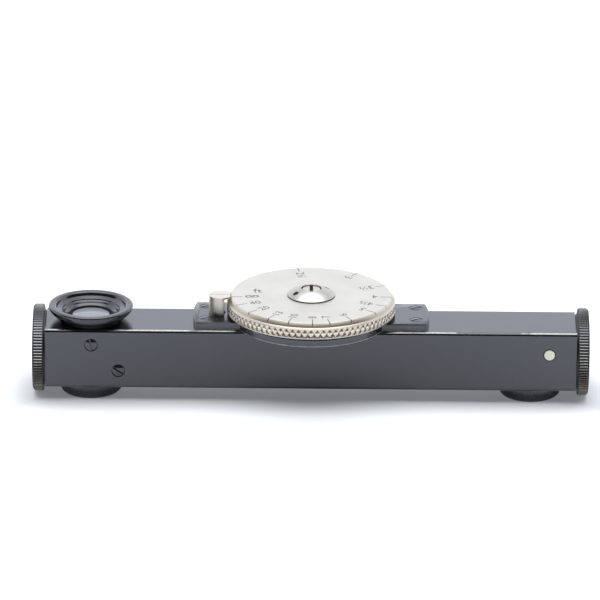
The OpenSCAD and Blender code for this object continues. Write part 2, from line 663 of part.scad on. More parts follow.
// The mirror's holder, its hub on the pivot pin, and the arm that runs behind the light path to the cam
module mirror_lever() color("#9c7f45") difference() {
    union() {
        on_slope(half_base) translate([-mirror_length / 2, -mirror_width / 2, mirror_thick + fit_gap])
            cube([mirror_length, mirror_width, holder_thick]);
        at_pivot(-mirror_width / 2) cylinder(r = hub_r, h = cam_r + mirror_width / 2 + arm_thick / 2);
        translate([0, arm_y + arm_thick, 0]) rotate([90, 0, 0]) linear_extrude(arm_thick) {
            polygon([[0, arm_bottom], [arm_pad, arm_bottom], [pivot_x, pivot_z - hub_r], [pivot_x, pivot_z + hub_r],
                [arm_pad, arm_top], [0, arm_top]]);
            translate([0, (arm_top + arm_bottom) / 2]) circle(arm_height / 2);
            translate([pivot_x, pivot_z]) circle(hub_r);
        }
    }
    at_pivot(-tube_depth) cylinder(r = pivot_r + running_gap, h = 2 * tube_depth);
    translate([0, cam_r, arm_bottom - cut_over]) cylinder(r = follower_r + fit_gap, h = arm_height + 2 * cut_over);
}

module tilting_mirror() color("#dfe6ea") on_slope(half_base)
    translate([-mirror_length / 2, -mirror_width / 2, 0]) cube([mirror_length, mirror_width, mirror_thick]);

// Its blunt point runs on the cam, and turning it sets the infinity mark
module follower_screw() color("#9a9a94") translate([0, cam_r, 0]) rotate_extrude() polygon([
    [0, arm_bottom + 0.3], [follower_r, arm_bottom + 0.3], [follower_r, follower_top - 0.5],
    [0.25, follower_top], [0, follower_top]]);

module follower_locknut() color("#b08d4a") translate([0, cam_r, arm_top]) difference() {
    cylinder(r = 1.15, h = 0.7, $fn = 6);
    translate([0, 0, -cut_over]) cylinder(r = follower_r + fit_gap, h = 2);
}

tube_body();
end_block_left();
end_block_right();
end_cap_left();
end_cap_right();
eyepiece_barrel();
eye_lens();
lens_retaining_ring();
eyecup();
window_ring_left();
window_ring_right();
window_glass_left();
window_glass_right();
window_retainer_left();
window_retainer_right();
splitter_mount();
splitter_plate();
splitter_screws();
light_stop();
bearing_plate();
ear_screws();
index_post();
bearing_bush();
friction_washer();
stop_pin();
pivot_pin();
spring_seat();
return_spring();
dial();
dome_nut();
spindle();
face_cam();
mirror_lever();
tilting_mirror();
follower_screw();
follower_locknut();
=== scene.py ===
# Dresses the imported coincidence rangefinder: turned, knurled and enamelled pieces over the
# frame's solids, their finishes, and a pale studio. Shapes are drawn in millimetres, in the
# frame's own axes, and made metres when a piece is finished.
import functools
import math

import bmesh
import bpy
from mathutils import Matrix, Vector


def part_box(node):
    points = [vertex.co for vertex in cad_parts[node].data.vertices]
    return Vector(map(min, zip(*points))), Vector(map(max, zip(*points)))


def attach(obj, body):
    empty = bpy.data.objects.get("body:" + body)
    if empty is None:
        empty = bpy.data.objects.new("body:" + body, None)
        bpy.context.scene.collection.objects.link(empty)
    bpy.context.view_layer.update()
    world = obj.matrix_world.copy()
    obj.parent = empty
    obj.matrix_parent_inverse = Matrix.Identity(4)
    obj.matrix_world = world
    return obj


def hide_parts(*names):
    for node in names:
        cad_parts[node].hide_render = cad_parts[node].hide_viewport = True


bl_info = {
    "name": "Coincidence Rangefinder",
    "version": (1, 0, 0),
    "blender": (4, 5, 0),
    "location": "3D View > Sidebar > Rangefinder",
    "description": "Builds an enamelled rangefinder with a knurled distance dial",
    "category": "Object",
}

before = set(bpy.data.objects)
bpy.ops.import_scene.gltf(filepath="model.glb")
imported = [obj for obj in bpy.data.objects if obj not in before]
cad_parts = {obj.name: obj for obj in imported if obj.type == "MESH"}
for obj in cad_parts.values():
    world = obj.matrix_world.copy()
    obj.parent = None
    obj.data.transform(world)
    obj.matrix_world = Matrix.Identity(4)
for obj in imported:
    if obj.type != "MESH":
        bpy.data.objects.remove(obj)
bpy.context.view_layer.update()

MM = 0.001
TURN = 2 * math.pi
# Sides of a turned piece, and the angle past which an edge is drawn hard
STEPS = 192
SHARP = math.radians(28)


def span(node):
    """A CAD node's lowest and highest corner, in millimetres."""
    low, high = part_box(node)
    return Vector(low) / MM, Vector(high) / MM


TUBE_LOW, TUBE_HIGH = span("tube_body")
DIAL_LOW, DIAL_HIGH = span("dial")
PLATE_LOW, PLATE_HIGH = span("bearing_plate")
CUP_LOW, CUP_HIGH = span("eyecup")
NUT_LOW, NUT_HIGH = span("dome_nut")
POST_LOW, POST_HIGH = span("index_post")
AXIS_Z = (TUBE_LOW.z + TUBE_HIGH.z) / 2
EYE_X = (CUP_LOW.x + CUP_HIGH.x) / 2
DIAL_R = DIAL_HIGH.x
# Length and radius of an end cap's plain neck
CAP_NECK, NECK_R = 0.37, 8.6
# Thickness of the bearing plate's ears, and the places of their screws
EAR_THICK = 1.8
EAR_SCREWS = [(x, y) for x in (-23.8, 23.8) for y in (-3.8, 3.8)]
# Radius of a small screw's head, and its thickness at the rim
HEAD_R, HEAD_THICK = 1.5, 0.55
# The index post, and the peg under it that holds it in the plate
POST_R = 2.65
POST_X = POST_LOW.x + POST_R
PEG_R = 1.2
# The stop pin in the bearing plate, and the dial's groove that it runs in
PIN_HOLE_R, PIN_PLACE = 0.63, 12
GROOVE_IN_R, GROOVE_OUT_R = 11.25, 12.75
# The dial's bevel, and the heights where its knurl and its bevel start and end
BEVEL_FOOT_R, FACE_R = 18.695, 18.065
KNURL_FOOT, KNURL_TOP, BEVEL_FOOT = DIAL_LOW.z + 0.35, DIAL_LOW.z + 2.25, DIAL_LOW.z + 2.7


def colour(code):
    """An sRGB hex code as linear red, green, blue and alpha."""
    parts = [int(code[i:i + 2], 16) / 255 for i in (0, 2, 4)]
    return tuple(p / 12.92 if p <= 0.04045 else ((p + 0.055) / 1.055) ** 2.4 for p in parts) + (1.0,)


# Shapes


def turned(outline, closed=False, steps=STEPS):
    """Spins an outline of (radius, height) points round the Z axis."""
    bm = bmesh.new()
    verts = [bm.verts.new((r, 0, z)) for r, z in outline]
    pairs = list(zip(verts, verts[1:])) + ([(verts[-1], verts[0])] if closed else [])
    edges = [bm.edges.new(pair) for pair in pairs]
    bmesh.ops.spin(bm, geom=verts + edges, cent=(0, 0, 0), axis=(0, 0, 1), angle=TURN,
                   steps=steps, use_merge=True)
    bmesh.ops.remove_doubles(bm, verts=bm.verts, dist=1e-5)
    bmesh.ops.recalc_face_normals(bm, faces=bm.faces)
    return bm


def drill(r, low, high, steps=STEPS):
    """A plain rod on the Z axis, to cut a hole with."""
    return turned([(0, low), (r, low), (r, high), (0, high)], steps=steps)


def bend(start, corner, end, steps=10):
    """Points of a curve that leaves one point towards a corner and reaches another from it."""
    return [tuple((1 - t) ** 2 * a + 2 * t * (1 - t) * b + t * t * c for a, b, c in zip(start, corner, end))
            for t in (i / steps for i in range(1, steps + 1))]


def arc(centre, r, first, last, steps=10):
    """Points of a round from one angle to another, in degrees."""
    angles = (math.radians(first + (last - first) * i / steps) for i in range(steps + 1))
    return [(centre[0] + r * math.cos(a), centre[1] + r * math.sin(a)) for a in angles]


def crowned(r, rise, steps, top=0.0):
    """Points of a shallow dome from its rim to its crown, which stands rise above the rim's height top."""
    ball = (r ** 2 + rise ** 2) / (2 * rise)
    reach = math.degrees(math.asin(r / ball))
    return arc((0, top + rise - ball), ball, 90 - reach, 90, steps)


def soften(bm, width, sharper):
    """Bevels the edges sharper than an angle."""
    edges = [e for e in bm.edges if len(e.link_faces) == 2 and e.calc_face_angle(0) > sharper]
    bmesh.ops.bevel(bm, geom=edges, offset=width, offset_type="OFFSET", segments=2,
                    profile=0.5, affect="EDGES", material=-1, clamp_overlap=True)
    return bm


def slab(low, high, corner=0.0):
    """A block between two corners, with its upright edges rounded."""
    bm = bmesh.new()
    bmesh.ops.create_cube(bm, size=1)
    low, high = Vector(low), Vector(high)
    bmesh.ops.scale(bm, vec=high - low, verts=bm.verts)
    bmesh.ops.translate(bm, vec=(low + high) / 2, verts=bm.verts)
    if corner:
        upright = [e for e in bm.edges if abs(e.verts[0].co.z - e.verts[1].co.z) > 1e-6]
        bmesh.ops.bevel(bm, geom=upright, offset=corner, offset_type="OFFSET", segments=6,
                        profile=0.5, affect="EDGES", material=-1)
    return bm


def moved(bm, place=(0, 0, 0), turn=None):
    """Turns a shape about the origin, then moves it."""
    if turn is not None:
        bmesh.ops.transform(bm, matrix=turn, verts=bm.verts)
    bmesh.ops.translate(bm, vec=place, verts=bm.verts)
    return bm


def gathered(shapes):
    """Puts several shapes into one, side by side."""
    whole = bmesh.new()
    for bm in shapes:
        mesh = bpy.data.meshes.new("part")
        bm.to_mesh(mesh)
        bm.free()
        whole.from_mesh(mesh)
        bpy.data.meshes.remove(mesh)
    return whole


def combined(bm, other, operation="DIFFERENCE"):
    """Cuts the second shape out of the first, or joins it on."""
    objects = []
    for part in (bm, other):
        mesh = bpy.data.meshes.new("part")
        part.to_mesh(mesh)
        part.free()
        objects.append(bpy.data.objects.new("part", mesh))
        bpy.context.scene.collection.objects.link(objects[-1])
    cut = objects[0].modifiers.new("cut", "BOOLEAN")
    cut.operation, cut.solver, cut.object = operation, "EXACT", objects[1]
    bpy.context.view_layer.update()
    depsgraph = bpy.context.evaluated_depsgraph_get()
    result = bpy.data.meshes.new_from_object(objects[0].evaluated_get(depsgraph))
    whole = bmesh.new()
    whole.from_mesh(result)
    for obj in objects:
        mesh = obj.data
        bpy.data.objects.remove(obj)
        bpy.data.meshes.remove(mesh)
    bpy.data.meshes.remove(result)
    bmesh.ops.remove_doubles(whole, verts=whole.verts, dist=1e-3)
    if not whole.faces:
        raise RuntimeError("a cut left nothing of its shape")
    return whole


def slotted(bm, width, depth, top, turn):
    """Saws a screwdriver slot into the top of a shape that stands on the Z axis."""
    reach = 6.0
    saw = slab((-reach, -width / 2, top - depth), (reach, width / 2, top + depth))
    return combined(bm, moved(saw, turn=Matrix.Rotation(turn, 4, "Z")))


def piece(name, bm, material, body, replaced=()):
    """Makes a shape an object in metres that rides on a body and may stand for CAD nodes."""
    bmesh.ops.scale(bm, vec=(MM, MM, MM), verts=bm.verts)
    for face in bm.faces:
        face.smooth = True
    for edge in bm.edges:
        edge.smooth = len(edge.link_faces) == 2 and edge.calc_face_angle(0) < SHARP
    mesh = bpy.data.meshes.new(name)
    bm.to_mesh(mesh)
    bm.free()
    made = bpy.data.objects.new(name, mesh)
    bpy.context.scene.collection.objects.link(made)
    mesh.materials.append(material)
    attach(made, body)
    if replaced:
        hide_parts(*replaced)
    return made


# Finishes


def add(tree, kind, inputs=(), out=0, **settings):
    """Adds a shader node with its settings, gives its inputs values or links, by name or in their
    own order, and returns one of its outputs, or all of them for None."""
    node = tree.nodes.new("ShaderNode" + kind)
    for key, value in settings.items():
        setattr(node, key, value)
    for key, value in inputs.items() if isinstance(inputs, dict) else enumerate(inputs):
        if isinstance(value, bpy.types.NodeSocket):
            tree.links.new(value, node.inputs[key])
        else:
            node.inputs[key].default_value = value
    return node.outputs if out is None else node.outputs[out]


# A Mix node that blends colours, from its input 6 to its input 7 by its input 0
COLOURS = {"out": 2, "data_type": "RGBA"}


def begun(name, centre=(0, 0, 0)):
    """Starts a material, and returns it, what adds nodes to it, and its coordinates in
    millimetres from a centre."""
    material = bpy.data.materials.new(name)
    material.use_nodes = True
    material.node_tree.nodes.clear()
    node = functools.partial(add, material.node_tree)
    place = node("Mapping", {"Vector": node("TexCoord", out="Object"), "Location": [-c for c in centre],
                             "Scale": (1 / MM, 1 / MM, 1 / MM)})
    return material, node, place


def ended(node, depth, height, inputs):
    """Closes a material with one surface shader, whose bump has a real depth in millimetres."""
    bump = node("Bump", {"Strength": 1.0, "Distance": depth * MM, "Height": height})
    node("OutputMaterial", [node("BsdfPrincipled", {"Normal": bump, **inputs})], None)


def radius(node, place, across=("X", "Y")):
    """Distance from the axis that stands across the two named directions."""
    parts = node("SeparateXYZ", [place], None)
    squares = [node("Math", (parts[a], parts[a]), operation="MULTIPLY") for a in across]
    return node("Math", [node("Math", squares, operation="ADD")], operation="SQRT")


def together(node, *masks):
    """A mask that is full only where several masks are."""
    return functools.reduce(lambda a, b: node("Math", (a, b), operation="MULTIPLY"), masks)


def enamel(name, look, centre=(0, 0, 0), wear=None, dull=0.0, ior=1.89):
    """Stoved black enamel on brass: a deep glossy skin with faint brush marks and dust, chipped
    to bare metal along its edges, where wear(node, place) rises from 0 to 1, and dull below
    the height dull."""
    material, node, place = begun(name, centre)
    # Clouds of 6 mm in the colour and the gloss
    mottle = node("TexNoise", {"Vector": place, "Scale": 1 / 6, "Detail": 4.0, "Roughness": 0.6})
    clouds = node("MapRange", (mottle, 0.3, 0.7))
    base = node("Mix", {0: clouds, 6: colour(look[0]), 7: colour(look[1])}, **COLOURS)
    roughness = node("MapRange", (mottle, 0.25, 0.75, 0.13, 0.22))
    # Dust of a third of a millimetre, coarser than real dust so that it shows
    dust = node("TexNoise", {"Vector": place, "Scale": 1 / 0.35, "Detail": 2.0, "Roughness": 0.5})
    dust = node("MapRange", (dust, 0.68, 0.76, 0.0, 0.1))
    base = node("Mix", {0: dust, 6: base, 7: colour("a3a4a8")}, **COLOURS)
    # Brush marks 0.6 mm wide and a micron deep that run along the tube
    along = node("Mapping", {"Vector": place, "Scale": (0.35, 1, 1)})
    peel = node("TexNoise", {"Vector": along, "Scale": 1 / 0.6, "Detail": 2.0, "Roughness": 0.5})
    if dull:
        height = node("SeparateXYZ", [place], "Z")
        low = node("MapRange", (height, dull, dull * 0.6, 0.0, 0.6))
        roughness = node("Math", (roughness, low), operation="ADD")
    metallic = 0.0
    if wear:
        bare = wear(node, place)
        grain = node("TexNoise", {"Vector": place, "Scale": 1 / 0.7, "Detail": 3.0, "Roughness": 0.55})
        metal = node("Mix", {0: grain, 6: colour("8f8b84"), 7: colour("dedcd8")}, **COLOURS)
        base = node("Mix", {0: bare, 6: base, 7: metal}, **COLOURS)
        metallic = node("Math", (bare, 0.55), operation="MULTIPLY")
        roughness = node("Math", (bare, 0.3, roughness), operation="MULTIPLY_ADD")
    ended(node, 0.001, peel, {"Base Color": base, "Roughness": roughness, "Metallic": metallic, "IOR": ior,
                              "Specular Tint": (0.89, 0.92, 1.0, 1)})
    return material


# Where along the tube its edge is worn through to the metal
WORN_RUNS = ((-62, -57), (-45, -17), (18, 33), (47, 61))


def edge_wear(node, place):
    """Enamel rubbed off along the tube's upper edges, through in WORN_RUNS and in chips between."""
    x, y, z = node("SeparateXYZ", [place], None)
    half = (TUBE_HIGH - TUBE_LOW) / 2
    aside = node("Math", [y], operation="ABSOLUTE")
    inner = node("MapRange", (aside, half.y - 0.85, half.y - 0.65))
    outer = node("MapRange", (aside, half.y - 0.18, half.y - 0.28))
    upper = node("MapRange", (z, half.z - 0.3, half.z - 0.15))
    runs = 0.66
    for start, end in WORN_RUNS:
        first, last = node("MapRange", (x, start - 3, start + 1)), node("MapRange", (x, end + 3, end - 1))
        runs = node("Math", (runs, together(node, first, last)), operation="MAXIMUM")
    # Chips 0.9 mm wide and 3.2 mm long
    along = node("Mapping", {"Vector": place, "Scale": (0.28, 1, 1)})
    chips = node("TexNoise", {"Vector": along, "Scale": 1 / 0.9, "Detail": 4.0, "Roughness": 0.65})
    chips = node("Math", (chips, 0.2), operation="ADD")
    return node("MapRange", (together(node, inner, outer, upper, runs, chips), 0.52, 0.66))


def nickel(name, look, roughness, centre=(0, 0, 0), across=("X", "Y"), rings=0.35, depth=0.0015, grime_and_shade=None,
           soil_and_shade="3a322a"):
    """Turned nickel silver: a warm grey metal with fine rings from the lathe, drawn coarser than the real
    ones so that they show, and a light tarnish. Where the caller's mask rises from 0 to 1, the colour turns
    to the caller's darker colour, which is dirt on some pieces and painted shade on others."""
    material, node, place = begun(name, centre)
    ring = node("CombineXYZ", (radius(node, place, across), 0.0, 0.0))
    lathe = node("TexNoise", {"Vector": ring, "Scale": 1 / rings, "Detail": 4.0, "Roughness": 0.7})
    tarnish = node("TexNoise", {"Vector": place, "Scale": 1 / 7, "Detail": 3.0, "Roughness": 0.5})
    tarnish = node("MapRange", (tarnish, 0.3, 0.72))
    base = node("Mix", {0: tarnish, 6: colour(look[0]), 7: colour(look[1])}, **COLOURS)
    # The caller's mask and colour carry dirt on some pieces and painted shade on others.
    if grime_and_shade:
        base = node("Mix", {0: grime_and_shade(node, place), 6: base, 7: colour(soil_and_shade)}, **COLOURS)
    ended(node, depth, lathe, {"Base Color": base, "Metallic": 1.0,
                               "Roughness": node("MapRange", (lathe, 0.3, 0.7, *roughness))})
    return material


def specks(node, place):
    """Grime in small scattered specks, half a millimetre wide."""
    spots = node("TexNoise", {"Vector": place, "Scale": 1 / 0.5, "Detail": 3.0, "Roughness": 0.55})
    return node("MapRange", (spots, 0.6, 0.8, 0.0, 0.4))


def plain_metal(name, look, roughness):
    """A metal piece as it left the machine: an even gloss with a little tarnish and a fine grain."""
    material, node, place = begun(name)
    tarnish = node("TexNoise", {"Vector": place, "Scale": 1 / 1.6, "Detail": 4.0, "Roughness": 0.55})
    base = node("Mix", {0: tarnish, 6: colour(look[0]), 7: colour(look[1])}, **COLOURS)
    grain = node("TexNoise", {"Vector": place, "Scale": 1 / 0.4, "Detail": 2.0, "Roughness": 0.55})
    ended(node, 0.002, grain, {"Base Color": base, "Metallic": 1.0, "Roughness": node(
        "MapRange", (tarnish, 0.3, 0.7, roughness * 0.8, roughness * 1.25))})
    return material


def matt_black():
    """Matt black lacquer inside the optics: it shows almost no gloss."""
    material, node, place = begun("matt_black_lacquer")
    grain = node("TexNoise", {"Vector": place, "Scale": 1 / 0.25, "Detail": 2.0, "Roughness": 0.55})
    base = node("Mix", {0: grain, 6: colour("0c0c0d"), 7: colour("171719")}, **COLOURS)
    ended(node, 0.004, grain, {"Base Color": base, "Specular IOR Level": 0.12,
                               "Roughness": node("MapRange", (grain, 0.3, 0.7, 0.5, 0.7))})
    return material


def blackened_cap(name, x, painted_highlight):
    """Blackened brass with fine flutes: a satin grey-black, worn to bare metal on its crests, dull brown on
    the lower crests. The upper crests are painted lighter and worn wider, towards a top colour given for each
    cap: this is painted light, and one cap is painted lighter than the other."""
    material, node, place = begun(name, (x, 0, AXIS_Z))
    z = node("SeparateXYZ", [place], "Z")
    low, high = span("end_cap_right")
    crest_r = (high.z - low.z) / 2
    # Painted light: the worn part of each crest widens towards the top, so the cap shows lighter above.
    wear_r_widened_as_painted_light = node("MapRange", (z, 3.5, 8.0, crest_r - 0.13, crest_r - 0.28))
    crest = node("MapRange", (radius(node, place, ("Y", "Z")), wear_r_widened_as_painted_light, crest_r - 0.03))
    patches = node("TexNoise", {"Vector": place, "Scale": 1 / 3, "Detail": 3.0, "Roughness": 0.55})
    # The wear patches thicken towards the top too, as painted light.
    patches = node("Math", (z, 0.03, patches), operation="MULTIPLY_ADD")
    worn = together(node, crest, node("MapRange", (patches, 0.1, 0.5, 0.6, 1.0)),
                    node("MapRange", (z, -9.4, -7.0, 0.5, 1.0)), node("MapRange", (z, 8.0, 9.4, 1.0, 0.3)))
    # Painted light: the bare metal runs from a dull colour low down to the cap's lighter top colour.
    upper = node("MapRange", (z, -3.0, 5.0))
    metal = node("Mix", {0: upper, 6: colour("c9beaf"), 7: colour(painted_highlight)}, **COLOURS)
    clouds = node("TexNoise", {"Vector": place, "Scale": 1 / 1.2, "Detail": 3.0, "Roughness": 0.55})
    base = node("Mix", {0: clouds, 6: colour("121315"), 7: colour("222327")}, **COLOURS)
    base = node("Mix", {0: worn, 6: base, 7: metal}, **COLOURS)
    satin = node("TexNoise", {"Vector": place, "Scale": 1 / 0.6, "Detail": 3.0, "Roughness": 0.55})
    grain = node("TexNoise", {"Vector": place, "Scale": 1 / 0.3, "Detail": 2.0, "Roughness": 0.55})
    ended(node, 0.003, grain, {"Base Color": base, "IOR": 1.8,
                               "Metallic": node("Math", (worn, 0.55), operation="MULTIPLY"),
                               "Specular IOR Level": node("MapRange", (worn, 0.0, 0.6, 0.3, 0.6)),
                               "Roughness": node("MapRange", (satin, 0.3, 0.7, 0.36, 0.5))})
    return material


def ink():
    """Black wax rubbed into engraved lines: thin and a little broken."""
    material, node, place = begun("engraving_wax")
    thin = node("TexNoise", {"Vector": place, "Scale": 1 / 0.35, "Detail": 3.0, "Roughness": 0.55})
    thin = node("MapRange", (thin, 0.35, 0.7))
    base = node("Mix", {0: thin, 6: colour("3a3733"), 7: colour("86807a")}, **COLOURS)
    ended(node, 0.01, thin, {"Base Color": base, "Roughness": 0.5})
    return material


def old_glass(name, tint="eef2f4", clear=1.0, haze=0.04):
    """Crown glass with a trace of haze and dust on its faces."""
    material, node, place = begun(name)
    wiped = node("Mapping", {"Vector": place, "Scale": (0.4, 1, 1)})
    smear = node("TexNoise", {"Vector": wiped, "Scale": 1 / 1.4, "Detail": 3.0, "Roughness": 0.6})
    ended(node, 0.0006, smear, {"Base Color": colour(tint), "Transmission Weight": clear, "IOR": 1.52,
                                "Roughness": node("MapRange", (smear, 0.4, 0.8, haze / 4, haze))})
    return material


FINISHES = {}


def finish(key):
    """A shared finish by name, made when it is first asked for."""
    makers = {
        "matt_black": matt_black,
        "ink": ink,
        "brass": lambda: plain_metal("turned_brass", ("8a6c34", "b8924c"), 0.28),
        "steel": lambda: plain_metal("bright_steel", ("8b8c8c", "b4b4b2"), 0.25),
        "blued": lambda: enamel("blackened_screws", ("1d1d20", "2b2b2f")),
        "glass": lambda: old_glass("crown_glass"),
        "silvered": lambda: plain_metal("silvered_glass", ("dfe3e4", "eef1f2"), 0.04),
        "half_silvered": lambda: old_glass("half_silvered_glass", "cdd8d4", 0.7),
    }
    if key not in FINISHES:
        FINISHES[key] = makers[key]()
    return FINISHES[key]


def dress(material, *nodes):
    """Gives CAD nodes a material in their own slots."""
    for name in nodes:
        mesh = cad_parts[name].data
        if not mesh.materials:
            mesh.materials.append(material)
        for i in range(len(mesh.materials)):
            mesh.materials[i] = material


# Sizes and colours that a user would change


class RangefinderSizes(bpy.types.PropertyGroup):
    """Sizes of the details that the frame's solids leave plain."""
    knurl_count: bpy.props.IntProperty(
        name="Knurl", description="Number of diamonds round the dial", default=84, min=40, max=120)
    knurl_depth: bpy.props.FloatProperty(
        name="Knurl depth", description="Depth of the dial's knurl", default=0.00025, unit="LENGTH",
        precision=5)
    flute_count: bpy.props.IntProperty(
        name="Cap flutes", description="Number of flutes round an end cap", default=92, min=40, max=120)
    flute_depth: bpy.props.FloatProperty(
        name="Flute depth", description="Depth of a cap's flutes", default=0.0003, unit="LENGTH",
        precision=5)
    ring_flutes: bpy.props.IntProperty(
        name="Ring flutes", description="Number of flutes round a window ring", default=60, min=30, max=100)
    line_width: bpy.props.FloatProperty(
        name="Line width", description="Width of the dial's engraved lines", default=0.00022, unit="LENGTH",
        precision=5)
    figure_height: bpy.props.FloatProperty(
        name="Figure height", description="Height of the dial's figures", default=0.0019, unit="LENGTH",
        precision=5)
    scale_turn: bpy.props.FloatProperty(
        name="Scale law", description="Degrees of the dial times the distance in feet", default=688.0)
    past_infinity: bpy.props.FloatProperty(
        name="Past infinity", description="Turn of the dial at rest past its infinity mark",
        default=math.radians(5), subtype="ANGLE")


class RangefinderColours(bpy.types.PropertyGroup):
    """Colours of the stage."""
    floor: bpy.props.FloatVectorProperty(
        name="Floor", description="Colour of the studio floor", subtype="COLOR", size=4, min=0, max=1,
        default=colour("ccced2"))
    dark_side: bpy.props.FloatVectorProperty(
        name="Camera side", description="Colour of the unlit room behind the camera", subtype="COLOR", size=4,
        min=0, max=1, default=colour("2b2c2e"))


# Pieces


class RANGEFINDER_OT_tube(bpy.types.Operator):
    """Gives the tube its enamel, worn along the long edges"""
    bl_idname = "rangefinder.tube"
    bl_label = "Tube"

    def execute(self, context):
        dress(enamel("tube_enamel", ("1a1b1e", "242528"), (0, 0, AXIS_Z), edge_wear), "tube_body")
        return {"FINISHED"}


class RANGEFINDER_OT_end_caps(bpy.types.Operator):
    """Turns the two end caps and cuts their flutes"""
    bl_idname = "rangefinder.end_caps"
    bl_label = "End caps"

    def execute(self, context):
        sizes = context.scene.rangefinder_sizes
        thread_r, thread_depth = 6.53, 1.53
        # Each cap's top colour is a painted highlight, the left one painted lighter than the right.
        for side, painted_highlight in ((-1, "eef0f5"), (1, "c3c5ca")):
            hand = "right" if side > 0 else "left"
            low, high = span(f"end_cap_{hand}")
            r, thick = (high.z - low.z) / 2, high.x - low.x - CAP_NECK
            bm = fluted_disc(r, thick, sizes.flute_count, sizes.flute_depth / MM, 0.28, 0.45)
            neck = turned([(6.4, -CAP_NECK), (NECK_R, -CAP_NECK), (NECK_R, 0.1), (6.4, 0.1)], closed=True)
            bm = combined(combined(bm, neck, "UNION"), drill(thread_r, -1, thread_depth))
            foot = low.x + CAP_NECK if side > 0 else high.x - CAP_NECK
            moved(bm, (foot, 0, AXIS_Z), Matrix.Rotation(side * math.pi / 2, 4, "Y"))
            brass = blackened_cap(f"blackened_brass_{hand}", (low.x + high.x) / 2, painted_highlight)
            piece(f"end_cap_{hand}_fluted", bm, brass, "housing", [f"end_cap_{hand}"])
        return {"FINISHED"}


def fluted_disc(r, thick, count, depth, foot, top):
    """A disc from z = 0 up, with round-bottomed flutes in its rim and a chamfer at its foot and top."""
    each = 6
    bm = bmesh.new()
    bmesh.ops.create_circle(bm, cap_ends=True, segments=count * each, radius=r)
    heights = [0, foot, thick - top, thick]
    faces = list(bm.faces)
    for low, high in zip(heights, heights[1:]):
        lifted = bmesh.ops.extrude_face_region(bm, geom=faces)["geom"]
        verts = [v for v in lifted if isinstance(v, bmesh.types.BMVert)]
        if low:
            bmesh.ops.delete(bm, geom=faces, context="FACES_ONLY")
        faces = [f for f in lifted if isinstance(f, bmesh.types.BMFace)]
        bmesh.ops.translate(bm, vec=(0, 0, high - low), verts=verts)
    for v in bm.verts:
        # The power widens each flute and leaves a narrow crest
        cut = depth * (0.5 - 0.5 * math.cos(count * math.atan2(v.co.y, v.co.x))) ** 0.7
        if v.co.z < 1e-6:
            cut = foot
        elif v.co.z > thick - 1e-6:
            cut = top
        v.co.xy *= (r - cut) / r
    bmesh.ops.recalc_face_normals(bm, faces=bm.faces)
    return bm


class RANGEFINDER_OT_eyepiece(bpy.types.Operator):
    """Turns the eyecup, the barrel, its retaining ring and the lens"""
    bl_idname = "rangefinder.eyepiece"
    bl_label = "Eyepiece"

    def execute(self, context):
        self.cup()
        self.barrel()
        self.lens()
        return {"FINISHED"}

    def cup(self):
        lip, height = CUP_HIGH.x - EYE_X, CUP_HIGH.z - CUP_LOW.z
        bore, waist, nose = 5.03, 6.6, 0.45
        mouth_r, mouth_z, barrel_z = 7.76, height - 0.66, 1.4
        crest = (lip - 2.4 * nose, height)
        flare = bend((waist, 0.4), (lip - 0.4, 1.4), (lip, height - nose), 14)
        rim = arc((lip - nose, height - nose), nose, 12, 90, 7)
        outside = [(bore, 0), (waist, 0), (waist, 0.4)] + flare + rim
        inside = bend(crest, (mouth_r + 0.1, height - 0.05), (mouth_r, mouth_z), 7)
        # Each step's share of the way out and up from the barrel to the mouth
        shares = ((0.96, 0.88), (0.56, 0.64), (0.52, 0.5), (0.34, 0.28), (0.31, 0.18), (0.04, 0))
        steps = [(bore + (mouth_r - bore) * u, barrel_z + (mouth_z - barrel_z) * w) for u, w in shares]
        bowl = turned(outside + [crest] + inside + steps + [(bore, barrel_z - 0.1)], closed=True)
        place = (EYE_X, 0, CUP_LOW.z)
        piece("eyecup_bowl", moved(bowl, place), enamel(
            "eyecup_enamel", ("1b1c1f", "26272b"), place, dull=0.7, ior=1.82), "housing",
            ["eyecup"])

    def barrel(self):
        low, high = span("eyepiece_barrel")
        foot, top = low.z, high.z
        clear_r, flange_r, flange, barrel_r, seat_r, seat = 3.95, 5.8, 0.7, 5, 4.53, 0.85
        tube = turned([(clear_r, foot), (flange_r, foot), (flange_r, foot + flange),
                       (barrel_r, foot + flange), (barrel_r, top - 0.08), (barrel_r - 0.08, top),
                       (seat_r, top), (seat_r, top - seat), (clear_r, top - seat)], closed=True)
        piece("eyepiece_barrel_turned", moved(tube, (EYE_X, 0, 0)), finish("matt_black"), "housing",
              ["eyepiece_barrel"])
        ring_r, hole_r, thick = 4.5, 4.2, 0.25
        ring = turned([(ring_r, top - thick), (ring_r, top - 0.04), (ring_r - 0.04, top),
                       (hole_r + 0.08, top), (hole_r, top - 0.12), (hole_r, top - thick)], closed=True)
        piece("lens_ring_turned", moved(ring, (EYE_X, 0, 0)), finish("matt_black"), "housing",
              ["lens_retaining_ring"])

    def lens(self):
        low, high = span("eye_lens")
        lens_r, face_r, edge = 4.5, 4.15, 0.6
        dome = crowned(face_r, high.z - low.z - edge, 16, edge)
        lens = turned([(0, 0), (lens_r, 0), (lens_r, edge)] + dome)
        glass = old_glass("eye_lens_glass", "b6bac4", 0.5, 0.2)
        piece("eye_lens_turned", moved(lens, (EYE_X, 0, low.z)), glass, "housing", ["eye_lens"])


